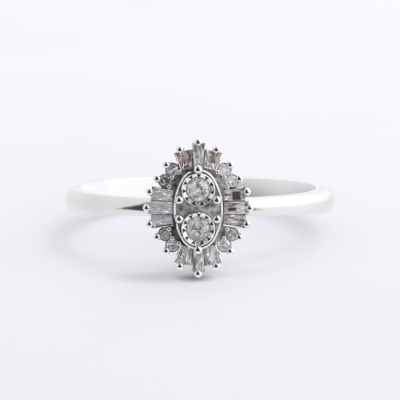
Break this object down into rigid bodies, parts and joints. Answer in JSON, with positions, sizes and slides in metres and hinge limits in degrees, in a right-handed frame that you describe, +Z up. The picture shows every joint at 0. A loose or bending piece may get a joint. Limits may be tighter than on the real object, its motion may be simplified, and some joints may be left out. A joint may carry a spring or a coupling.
{
  "type": "cluster ring",
  "caption": "White gold cluster ring on its side: plain shank that narrows to an upright oval head of round and tapered baguette diamonds in round-tipped claws.",
  "frame": {"origin": "centre of the floor area that the ring covers as it lies on its side, on the surface it rests on", "axes": "+Z up; the head faces -Y and is raised at the front, +X runs across the finger to the right as one faces the head"},
  "size_m": [0.02, 0.0234, 0.0098],
  "materials": {
    "white_gold": "high polish",
    "round_diamond": "faceted, slightly included",
    "baguette_diamond": "step cut, slightly included"
  },
  "bodies": {
    "root": {"mount": "white_gold", "illusion_cup_upper": "white_gold", "illusion_cup_lower": "white_gold", "centre_stone_upper": "round_diamond", "centre_stone_lower": "round_diamond", "baguette_north_1": "baguette_diamond", "baguette_north_2": "baguette_diamond", "baguette_north_3": "baguette_diamond", "baguette_east_1": "baguette_diamond", "baguette_east_2": "baguette_diamond", "baguette_east_3": "baguette_diamond", "baguette_south_1": "baguette_diamond", "baguette_south_2": "baguette_diamond", "baguette_south_3": "baguette_diamond", "baguette_west_1": "baguette_diamond", "baguette_west_2": "baguette_diamond", "baguette_west_3": "baguette_diamond", "round_stone_ne_1": "round_diamond", "round_stone_ne_2": "round_diamond", "round_stone_se_1": "round_diamond", "round_stone_se_2": "round_diamond", "round_stone_sw_1": "round_diamond", "round_stone_sw_2": "round_diamond", "round_stone_nw_1": "round_diamond", "round_stone_nw_2": "round_diamond"}
  },
  "joints": []
}
